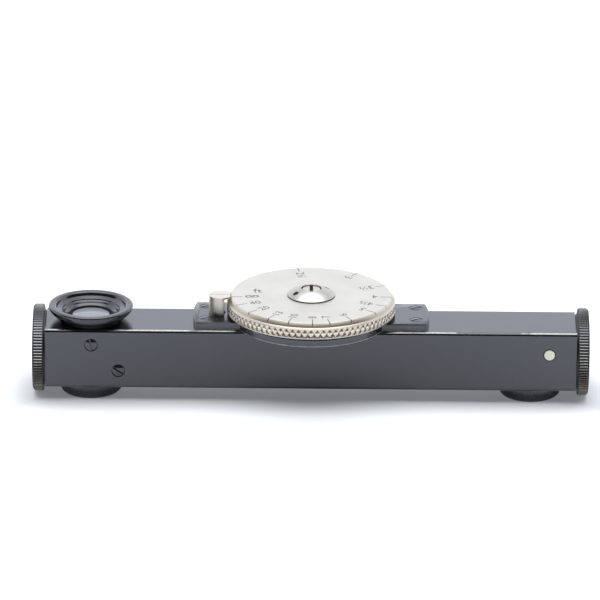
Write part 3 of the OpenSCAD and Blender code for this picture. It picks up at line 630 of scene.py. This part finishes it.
class RANGEFINDER_OT_window_rings(bpy.types.Operator):
    """Turns the two window rings and cuts the flutes of their rims"""
    bl_idname = "rangefinder.window_rings"
    bl_label = "Window rings"

    def execute(self, context):
        sizes = context.scene.rangefinder_sizes
        pocket_r, pocket, clear_r, neck_r = 5.33, 2.2, 4.6, 5.7
        for hand in ("left", "right"):
            low, high = span(f"window_ring_{hand}")
            x, r, top = (low.x + high.x) / 2, (high.x - low.x) / 2, TUBE_LOW.z
            bm = fluted_disc(r, top, sizes.ring_flutes, 0.1, 0.4, 0.12)
            bm = combined(bm, turned([(0, -1), (pocket_r, -1), (pocket_r, pocket), (clear_r, pocket),
                                      (clear_r, 5), (0, 5)]))
            neck = turned([(clear_r, top - 0.3), (neck_r, top - 0.3), (neck_r, high.z), (clear_r, high.z)],
                          closed=True)
            bm = combined(bm, neck, "UNION")
            skin = enamel(f"window_ring_enamel_{hand}", ("1b1c1e", "28292b"), (x, 0, 0), dull=2.6, ior=1.95)
            piece(f"window_ring_{hand}_fluted", moved(bm, (x, 0, 0)), skin, "housing",
                  [f"window_ring_{hand}"])
        return {"FINISHED"}


class RANGEFINDER_OT_bearing_plate(bpy.types.Operator):
    """Shapes the bearing plate with its two ears and the screw recesses"""
    bl_idname = "rangefinder.bearing_plate"
    bl_label = "Bearing plate"

    def execute(self, context):
        low, high = PLATE_LOW, PLATE_HIGH
        r, ear, ear_side = (high.y - low.y) / 2, low.z + EAR_THICK, 6.65
        bush_r, foot, crest = 4.23, 0.12, 0.7
        ears = slab((low.x, -ear_side, low.z), (high.x, ear_side, ear), 1.1)
        ears = combined(ears, drill(high.x, low.z - 1, ear + 1), "INTERSECT")
        ears = soften(ears, 0.12, math.radians(60))
        middle = turned([(bush_r, low.z), (r - foot, low.z), (r, low.z + foot)]
                        + arc((r - crest, high.z - crest), crest, 0, 90, 8) + [(bush_r, high.z)], closed=True)
        bm = combined(combined(ears, middle, "UNION"), drill(bush_r, low.z - 1, high.z + 1))
        shank_r, head_r, sunk = 0.83, HEAD_R + 0.03, ear - 0.61
        recess = [(0, low.z - 1), (shank_r, low.z - 1), (shank_r, sunk), (head_r, sunk), (head_r, low.z + 3),
                  (0, low.z + 3)]
        bores = [moved(turned(recess, steps=48), (x, y, 0)) for x, y in EAR_SCREWS]
        for bore_r, x, y in ((PIN_HOLE_R, 0, PIN_PLACE), (PEG_R + 0.03, POST_X, 0)):
            bores.append(moved(drill(bore_r, low.z - 1, high.z + 1, 32), (x, y, 0)))
        bm = combined(bm, gathered(bores))

        def foot_wear(node, place):
            rim = node("MapRange", (radius(node, place), r - 0.13, r - 0.05))
            foot = node("MapRange", (node("SeparateXYZ", [place], "Z"), 0.3, 0.2))
            broken = node("TexNoise", {"Vector": place, "Scale": 1 / 2, "Detail": 3.0, "Roughness": 0.6})
            return together(node, rim, foot, node("MapRange", (broken, 0.3, 0.6, 0.65, 1.0)))

        skin = enamel("plate_enamel", ("1b1c20", "26272c"), (0, 0, low.z), foot_wear)
        piece("bearing_plate_shaped", bm, skin, "housing", ["bearing_plate"])
        return {"FINISHED"}


class RANGEFINDER_OT_index_post(bpy.types.Operator):
    """Turns the index post, and mills its side away under the thin head"""
    bl_idname = "rangefinder.index_post"
    bl_label = "Index post"

    def execute(self, context):
        low, high = POST_LOW, POST_HIGH
        bottom, head, flat, tip_r = PLATE_LOW.z + EAR_THICK, 0.4, -19.7, -POST_HIGH.x
        half, deep = 0.09, 0.06
        bm = turned([(0, low.z), (PEG_R, low.z), (PEG_R, bottom), (POST_R, bottom), (POST_R, high.z - 0.06),
                     (POST_R - 0.06, high.z), (0, high.z)], steps=96)
        moved(bm, (POST_X, 0, 0))
        bm = combined(bm, slab((flat, -4, bottom - 1), (-10, 4, high.z - head)))
        bm = combined(bm, drill(tip_r, low.z, high.z + 1))
        bm = combined(bm, slab((low.x - 1, -half, high.z - deep), (high.x + 1, half, high.z + 1)))

        def foot_grime(node, place):
            z = node("SeparateXYZ", [place], "Z")
            edge = node("TexNoise", {"Vector": place, "Scale": 1 / 1.2, "Detail": 3.0, "Roughness": 0.55})
            height = node("Math", (edge, 0.9, z), operation="MULTIPLY_ADD")
            return node("MapRange", (height, 1.3, 0.6, 0.0, 0.5))

        metal = nickel("turned_nickel_post", ("d2cbbf", "e0d9ce"), (0.34, 0.48), (POST_X, 0, bottom),
                       rings=0.3, grime_and_shade=foot_grime, soil_and_shade="6f6152")
        piece("index_post_milled", bm, metal, "housing", ["index_post"])
        line = slab((low.x + 0.05, -half, high.z - deep), (high.x - 0.05, half, high.z - 0.02))
        piece("index_line", line, finish("ink"), "housing")
        return {"FINISHED"}


class RANGEFINDER_OT_dial(bpy.types.Operator):
    """Turns the dial and rolls the diamond knurl into its rim"""
    bl_idname = "rangefinder.dial"
    bl_label = "Dial"

    def execute(self, context):
        sizes = context.scene.rangefinder_sizes
        low, high = DIAL_LOW.z, DIAL_HIGH.z
        bore_r, collar_r, sunk = 2.13, 3.03, low + 1
        rim, core = DIAL_R - 0.02, DIAL_R - 0.55
        bm = turned([
            (bore_r, sunk), (collar_r, sunk), (collar_r, low), (GROOVE_IN_R, low), (GROOVE_IN_R, sunk),
            (GROOVE_OUT_R, sunk), (GROOVE_OUT_R, low), (DIAL_R - 0.25, low), (rim, low + 0.1),
            (rim, KNURL_FOOT), (core, KNURL_FOOT), (core, KNURL_TOP), (rim, KNURL_TOP),
            (BEVEL_FOOT_R + 0.04, BEVEL_FOOT - 0.04), (BEVEL_FOOT_R - 0.03, BEVEL_FOOT),
            (FACE_R + 0.04, high - 0.05), (FACE_R - 0.03, high), (bore_r, high)], closed=True)

        # A beige band down the bevel, strongest near its foot: grime in the hollow together with painted
        # shade there.
        def bevel_grime_and_shade(node, place):
            bevel = BEVEL_FOOT - high
            foot = node("MapRange", (node("SeparateXYZ", [place], "Z"), bevel + 0.95, bevel + 0.3))
            r = radius(node, place)
            inner = node("MapRange", (r, BEVEL_FOOT_R + 0.03, BEVEL_FOOT_R - 0.02, 0.4, 1.0))
            edge = node("MapRange", (r, FACE_R - 0.15, FACE_R + 0.1, 0.0, 0.5))
            return together(node, foot, inner, edge)

        metal = nickel("turned_nickel_dial", ("cbc8c1", "d5d1ca"), (0.36, 0.46), (0, 0, high), depth=0.001,
                       grime_and_shade=bevel_grime_and_shade, soil_and_shade="a68d68")
        piece("dial_disc", bm, metal, "dial", ["dial"])
        knurl = knurled_rim(core - 0.05, KNURL_FOOT - 0.02, KNURL_TOP, sizes.knurl_count,
                            sizes.knurl_depth / MM)
        metal = nickel("rolled_nickel_knurl", ("e2d5c4", "f4ebde"), (0.24, 0.38), grime_and_shade=specks)
        piece("knurled_rim", knurl, metal, "dial")
        return {"FINISHED"}


def knurled_rim(inner_r, low, high, count, depth):
    """A ring whose outside is rolled with crossed grooves, which leave one row of diamonds."""
    columns, rows, groove = count * 4, 4, 0.36
    bm = bmesh.new()
    bmesh.ops.create_circle(bm, cap_ends=False, segments=columns, radius=DIAL_R)
    bmesh.ops.translate(bm, vec=(0, 0, low), verts=bm.verts)
    first = loop = list(bm.edges)
    for _ in range(rows):
        made = bmesh.ops.extrude_edge_only(bm, edges=loop)["geom"]
        loop = [e for e in made if isinstance(e, bmesh.types.BMEdge)
                and abs(e.verts[0].co.z - e.verts[1].co.z) < 1e-9]
        bmesh.ops.translate(bm, vec=(0, 0, (high - low) / rows),
                            verts=[v for v in made if isinstance(v, bmesh.types.BMVert)])
    bmesh.ops.poke(bm, faces=bm.faces)
    for v in bm.verts:
        u = math.atan2(v.co.y, v.co.x) / TURN * count
        t = (v.co.z - (low + high) / 2) / (high - low)
        off = min(abs((s + 1) % 1 - 0.5) for s in (u + t, u - t))
        v.co.xy *= (DIAL_R - depth * (1 - min(1, off / groove))) / math.hypot(*v.co.xy)
    loops = []
    for edges in (first, loop):
        made = bmesh.ops.extrude_edge_only(bm, edges=edges)["geom"]
        for v in made:
            if isinstance(v, bmesh.types.BMVert):
                v.co.xy *= inner_r / math.hypot(*v.co.xy)
        loops += [e for e in made if isinstance(e, bmesh.types.BMEdge)
                  and all(abs(math.hypot(*v.co.xy) - inner_r) < 1e-4 for v in e.verts)]
    bmesh.ops.bridge_loops(bm, edges=loops)
    bmesh.ops.recalc_face_normals(bm, faces=bm.faces)
    return bm


# Each mark's figure and its distance in feet
SCALE_MARKS = [("∞", None), ("40", 40), ("20", 20), ("13", 13), ("10", 10), ("8", 8), ("7", 7), ("6", 6),
               ("5", 5), ("4½", 4.5), ("4", 4), ("3½", 3.5), ("3", 3), ("2½", 2.5)]
# Radii where the marks start and where the figures end
MARK_R, FIGURE_R = 15.7, 15.05


class RANGEFINDER_OT_scale(bpy.types.Operator):
    """Engraves the dial's lines and figures, and fills them with wax"""
    bl_idname = "rangefinder.scale"
    bl_label = "Distance scale"

    def execute(self, context):
        sizes = context.scene.rangefinder_sizes
        top, half = DIAL_HIGH.z, sizes.line_width / MM / 2
        start = math.pi + sizes.past_infinity
        lines, figures = [], []
        for text, feet in SCALE_MARKS:
            azimuth = start + (math.radians(sizes.scale_turn / feet) if feet else 0)
            turn = Matrix.Rotation(azimuth, 4, "Z")
            line = slab((MARK_R, -half, top - 0.02), (FACE_R, half, top + 0.008))
            lines += [moved(line, turn=turn), moved(bevel_line(half), turn=turn)]
            # The infinity sign is low for its size, so it is drawn larger
            height = sizes.figure_height / MM * (1.0 if feet else 1.4)
            figures.append(figure(text, height, azimuth, FIGURE_R))
        figures.append(figure("ft", 2.4, start, 12.9, 3.6))
        piece("scale_lines", gathered(lines), finish("ink"), "dial")
        piece("scale_figures", gathered(figures), finish("ink"), "dial")
        return {"FINISHED"}


def bevel_line(half):
    """The part of a line that runs a little way down the dial's bevel."""
    high, share = DIAL_HIGH.z, 0.55
    reach = (BEVEL_FOOT_R - FACE_R) * share
    bm = slab((FACE_R, -half, high - 0.03), (FACE_R + reach, half, high + 0.012))
    for v in bm.verts:
        if v.co.x > FACE_R + reach / 2:
            v.co.z -= (high - BEVEL_FOOT) * share
    return bm


def figure(text, height, azimuth, start_r, aside=0.0):
    """Text that reads from the rim inwards, as a thin inlay in the dial's face."""
    capital = 0.7
    thick, sunk = 0.03, 0.018
    curve = bpy.data.curves.new("figure", "FONT")
    curve.body, curve.size, curve.resolution_u = text, height / capital, 3
    holder = bpy.data.objects.new("figure", curve)
    bpy.context.scene.collection.objects.link(holder)
    bpy.context.view_layer.update()
    mesh = bpy.data.meshes.new_from_object(holder.evaluated_get(bpy.context.evaluated_depsgraph_get()))
    bpy.data.objects.remove(holder)
    bpy.data.curves.remove(curve)
    bm = bmesh.new()
    bm.from_mesh(mesh)
    bpy.data.meshes.remove(mesh)
    bmesh.ops.remove_doubles(bm, verts=bm.verts, dist=1e-4)
    raised = bmesh.ops.extrude_face_region(bm, geom=list(bm.faces))["geom"]
    bmesh.ops.translate(bm, vec=(0, 0, thick), verts=[v for v in raised if isinstance(v, bmesh.types.BMVert)])
    bmesh.ops.recalc_face_normals(bm, faces=bm.faces)
    xs = [v.co.x for v in bm.verts]
    ys = [v.co.y for v in bm.verts]
    moved(bm, (-start_r - min(xs), aside - (min(ys) + max(ys)) / 2, DIAL_HIGH.z - sunk))
    return moved(bm, turn=Matrix.Rotation(azimuth - math.pi, 4, "Z"))


class RANGEFINDER_OT_nut(bpy.types.Operator):
    """Turns the polished dome nut and the slotted spindle in it"""
    bl_idname = "rangefinder.nut"
    bl_label = "Dome nut and spindle"

    def execute(self, context):
        self.nut()
        self.spindle()
        return {"FINISHED"}

    def nut(self):
        base, top, r = NUT_LOW.z, NUT_HIGH.z, NUT_HIGH.x
        foot, hole_r = 0.2, 2.28
        rim_r, rise = hole_r + 0.05, top - base - foot
        # The dome's round passes through its foot and through the rim of its hole
        middle = (rim_r ** 2 + (rise + foot) ** 2 - r ** 2 - foot ** 2) / (2 * rise)
        ball = math.hypot(r, foot - middle)
        first, last = (math.degrees(math.atan2(z - middle, x)) for x, z in ((r, foot), (rim_r, rise + foot)))
        dome = arc((0, base + middle), ball, first, last, 20)
        bm = turned([(hole_r, base), (r - 0.16, base), (r, base + 0.16)] + dome + [(hole_r, top - 0.05)],
                    closed=True)
        spanner_r, spanner_place = 0.62, 4
        holes = [moved(drill(spanner_r, base + 0.35, top + 1, 48),
                       (spanner_place * math.cos(a), spanner_place * math.sin(a), 0))
                 for a in (math.radians(29), math.radians(209))]
        bm = combined(bm, gathered(holes))

        # Painted shade: a dark ring round the nut's foot, where it sits on the dial.
        def seat_shade(node, place):
            return node("MapRange", (node("SeparateXYZ", [place], "Z"), 0.26, 0.18, 0.0, 0.95))

        metal = nickel("polished_nickel", ("aeaba6", "bbb9b4"), (0.28, 0.36), (0, 0, base), rings=0.5,
                       depth=0.0005, grime_and_shade=seat_shade)
        piece("dome_nut_turned", bm, metal, "dial", ["dome_nut"])

    def spindle(self):
        low, high = span("spindle")
        foot, shoulder, top = low.z, DIAL_LOW.z + 0.97, high.z
        cam_r, flange_r, journal_r, neck_r = 3.17, 5.0, 3.0, 2.1
        bm = turned([(0, foot), (cam_r, foot), (cam_r, foot + 1), (flange_r, foot + 1),
                     (flange_r, foot + 1.4), (journal_r, foot + 1.4), (journal_r, shoulder),
                     (neck_r, shoulder), (neck_r, top - 0.12), (neck_r - 0.12, top), (0, top)], steps=96)
        bm = slotted(bm, 0.8, 0.9, top, math.pi / 2)
        metal = nickel("turned_nickel_spindle", ("b9b2a6", "cbc5ba"), (0.25, 0.36), rings=0.3, grime_and_shade=specks)
        piece("spindle_slotted", bm, metal, "dial", ["spindle"])


class RANGEFINDER_OT_screws(bpy.types.Operator):
    """Turns and slots the ear screws, the two front screws and the pivot pin"""
    bl_idname = "rangefinder.screws"
    bl_label = "Screws and pin"

    def execute(self, context):
        low, high = span("ear_screws")
        heads = [moved(screw(high.z - low.z, 28, 0.16), (x, y, high.z)) for x, y in EAR_SCREWS]
        piece("ear_screws_slotted", gathered(heads), finish("blued"), "housing",
              ["ear_screws"])
        low, high = span("splitter_screws")
        facing = Matrix.Rotation(math.pi / 2, 4, "X")
        proud = 0.34
        # Each front screw's place and the turn of its slot
        places = ((low.x + HEAD_R, high.z - HEAD_R, -73), (high.x - HEAD_R, low.z + HEAD_R, -31))
        heads = [moved(screw(high.y - low.y + proud, turn, 0.34), (x, low.y - proud, z), facing)
                 for x, z, turn in places]
        piece("front_screws_slotted", gathered(heads), finish("blued"), "housing",
              ["splitter_screws"])
        low, high = span("pivot_pin")
        r, length = (high.x - low.x) / 2, high.y - low.y
        x, z = (low.x + high.x) / 2, (low.z + high.z) / 2
        end = [(0, 0), (r * 0.6, 0.02), (r - 0.12, 0.06), (r, 0.14)]
        pin = turned(end + [(out, length - up) for out, up in reversed(end)], steps=64)

        # Painted shade: the pin darkens to near black at its rim, where it meets its hole; the specks over it
        # are dirt.
        def pin_rim_shade_and_specks(node, place):
            edge = node("MapRange", (radius(node, place, ("X", "Z")), r - 0.3, r - 0.1))
            return node("Math", (edge, specks(node, place)), operation="MAXIMUM")

        metal = nickel("turned_nickel_pin", ("d6cfc2", "e6e1d6"), (0.3, 0.45), (x, 0, z), ("X", "Z"), 0.3,
                       grime_and_shade=pin_rim_shade_and_specks, soil_and_shade="1f1c19")
        piece("pivot_pin_turned", moved(pin, (x, high.y, z), facing), metal, "housing",
              ["pivot_pin"])
        return {"FINISHED"}


def screw(length, turn, crown):
    """A slotted screw with its shank down the Z axis. Its head's rim is at the origin's height,
    and its top rises to a crown."""
    shank_r = 0.8
    shank = [(0, -length), (shank_r, -length), (shank_r, -HEAD_THICK), (HEAD_R, -HEAD_THICK)]
    bm = turned(shank + crowned(HEAD_R, crown, 12), steps=64)
    return slotted(bm, 0.36, HEAD_THICK * 0.6 + crown * 0.8, crown, math.radians(turn))


class RANGEFINDER_OT_inner(bpy.types.Operator):
    """Gives the pieces inside and under the tube their finishes"""
    bl_idname = "rangefinder.inner"
    bl_label = "Inner pieces"

    def execute(self, context):
        dress(finish("brass"), "splitter_mount", "bearing_bush", "spring_seat", "face_cam", "mirror_lever",
              "follower_locknut")
        dress(finish("steel"), "friction_washer", "stop_pin", "return_spring", "follower_screw")
        dress(finish("matt_black"), "light_stop", "window_retainer_left", "window_retainer_right",
              "end_block_left", "end_block_right")
        dress(finish("glass"), "window_glass_left", "window_glass_right")
        dress(finish("half_silvered"), "splitter_plate")
        dress(finish("silvered"), "tilting_mirror")
        return {"FINISHED"}


# The floor's own glow to the camera away from the object, lowered under and beside it as a painted shadow,
# and the brightness of the lit part of the ceiling
FLOOR_GLOW = 0.62
SOFTBOX = 3.0


class RANGEFINDER_OT_stage(bpy.types.Operator):
    """Lays the pale floor, lights the studio and sets up the camera"""
    bl_idname = "rangefinder.stage"
    bl_label = "Stage"

    def execute(self, context):
        colours = context.scene.rangefinder_colours
        self.floor(context.scene, tuple(colours.floor))
        self.room(context.scene, tuple(colours.dark_side))
        self.camera(context.scene)
        return {"FINISHED"}

    def floor(self, scene, paper):
        """A sheet of pale paper: white to the camera away from the object, and grey under and beside it,
        where its glow is lowered as a painted shadow. In reflections its glow is weaker near the object,
        which is a painted shadow too.
        """
        bm = bmesh.new()
        bmesh.ops.create_grid(bm, x_segments=1, y_segments=1, size=3)
        mesh = bpy.data.meshes.new("floor")
        bm.to_mesh(mesh)
        bm.free()
        floor = bpy.data.objects.new("floor", mesh)
        scene.collection.objects.link(floor)
        material, node, place = begun("studio_paper")
        rays = node("LightPath", out=None)
        x, y = node("SeparateXYZ", [place], None)[:2]
        past_end = node("Math", (node("Math", [x], operation="ABSOLUTE"), 55.0), operation="SUBTRACT")
        away = node("Math", (node("Math", [y], operation="ABSOLUTE"), past_end), operation="MAXIMUM")
        # Painted shadow: the glow to the camera drops to about a quarter under and beside the object.
        glow_with_painted_shadow = node("MapRange", (away, 7.0, 17.5, FLOOR_GLOW * 0.28, FLOOR_GLOW))
        # Painted shadow in reflections: the glow that glossy rays see grows from weak near the object to
        # stronger far out.
        reflected_glow_with_painted_shadow = node("MapRange", (radius(node, place), 20.0, 80.0, 0.12, 0.5))
        seen = together(node, rays["Is Camera Ray"], glow_with_painted_shadow)
        glow = node("Math", (rays["Is Glossy Ray"], reflected_glow_with_painted_shadow, seen), operation="MULTIPLY_ADD")
        shader = node("BsdfPrincipled", {"Base Color": paper, "Roughness": 0.9, "Specular IOR Level": 0.1,
                                         "Emission Color": (0.94, 0.97, 1, 1), "Emission Strength": glow})
        node("OutputMaterial", [shader], None)
        mesh.materials.append(material)

    def room(self, scene, dark_side):
        """Soft light from a ceiling and a pale wall behind, and a dark room on the camera's side"""
        world = bpy.data.worlds.new("studio")
        scene.world = world
        world.use_nodes = True
        world.node_tree.nodes.clear()
        node = functools.partial(add, world.node_tree)
        y, z = node("SeparateXYZ", [node("TexCoord", out="Generated")], None)[1:]
        below = node("MapRange", (z, 0.56, 0.42))
        wall = node("Mix", {0: below, 6: (1.06, 1.09, 1.14, 1), 7: (1.28, 1.34, 1.46, 1)}, **COLOURS)
        behind = node("MapRange", (y, 0.06, -0.06))
        room = node("Mix", {0: behind, 6: wall, 7: dark_side}, **COLOURS)
        above = together(node, node("MapRange", (z, 0.80, 0.88)), node("MapRange", (y, -0.47, -0.37)))
        room = node("Mix", {0: above, 6: room, 7: (SOFTBOX, SOFTBOX, SOFTBOX, 1)}, **COLOURS)
        seen = node("LightPath", out="Is Camera Ray")
        room = node("Mix", {0: seen, 6: room, 7: (1, 1, 1, 1)}, **COLOURS)
        node("OutputWorld", [node("Background", {"Color": room, "Strength": 1.0})], None)
        scene.view_settings.view_transform = "Standard"

    def camera(self, scene):
        """A long lens from the front and a little above, as in the photograph"""
        aim, distance, rise, roll = Vector((-2.55, 0, 21.84)) * MM, 1.3, math.radians(20.4), math.radians(0.5)
        camera = bpy.data.objects.new("camera", bpy.data.cameras.new("camera"))
        scene.collection.objects.link(camera)
        camera.data.sensor_width = 36
        camera.data.lens = 343.7
        camera.data.clip_end = 20
        away = Vector((0, -math.cos(rise), math.sin(rise)))
        facing = Matrix.Rotation(math.pi / 2 - rise, 4, "X") @ Matrix.Rotation(roll, 4, "Z")
        camera.matrix_world = Matrix.Translation(aim + away * distance) @ facing
        scene.camera = camera


OPERATORS = (RANGEFINDER_OT_tube, RANGEFINDER_OT_end_caps, RANGEFINDER_OT_eyepiece,
             RANGEFINDER_OT_window_rings, RANGEFINDER_OT_bearing_plate, RANGEFINDER_OT_index_post,
             RANGEFINDER_OT_dial, RANGEFINDER_OT_scale, RANGEFINDER_OT_nut, RANGEFINDER_OT_screws,
             RANGEFINDER_OT_inner, RANGEFINDER_OT_stage)


class RANGEFINDER_PT_panel(bpy.types.Panel):
    """Lists the pieces and the values they are made from"""
    bl_idname = "RANGEFINDER_PT_panel"
    bl_label = "Rangefinder"
    bl_space_type = "VIEW_3D"
    bl_region_type = "UI"
    bl_category = "Rangefinder"

    def draw(self, context):
        for group in (context.scene.rangefinder_sizes, context.scene.rangefinder_colours):
            for key in group.bl_rna.properties.keys():
                if key not in ("rna_type", "name"):
                    self.layout.prop(group, key)
        for operator in OPERATORS:
            self.layout.operator(operator.bl_idname)


CLASSES = (RangefinderSizes, RangefinderColours) + OPERATORS + (RANGEFINDER_PT_panel,)


def register():
    for cls in CLASSES:
        bpy.utils.register_class(cls)
    bpy.types.Scene.rangefinder_sizes = bpy.props.PointerProperty(type=RangefinderSizes)
    bpy.types.Scene.rangefinder_colours = bpy.props.PointerProperty(type=RangefinderColours)


def unregister():
    del bpy.types.Scene.rangefinder_sizes
    del bpy.types.Scene.rangefinder_colours
    for cls in reversed(CLASSES):
        bpy.utils.unregister_class(cls)


def main():
    register()
    for operator in OPERATORS:
        group, name = operator.bl_idname.split(".")
        getattr(getattr(bpy.ops, group), name)()


if __name__ == "__main__":
    main()
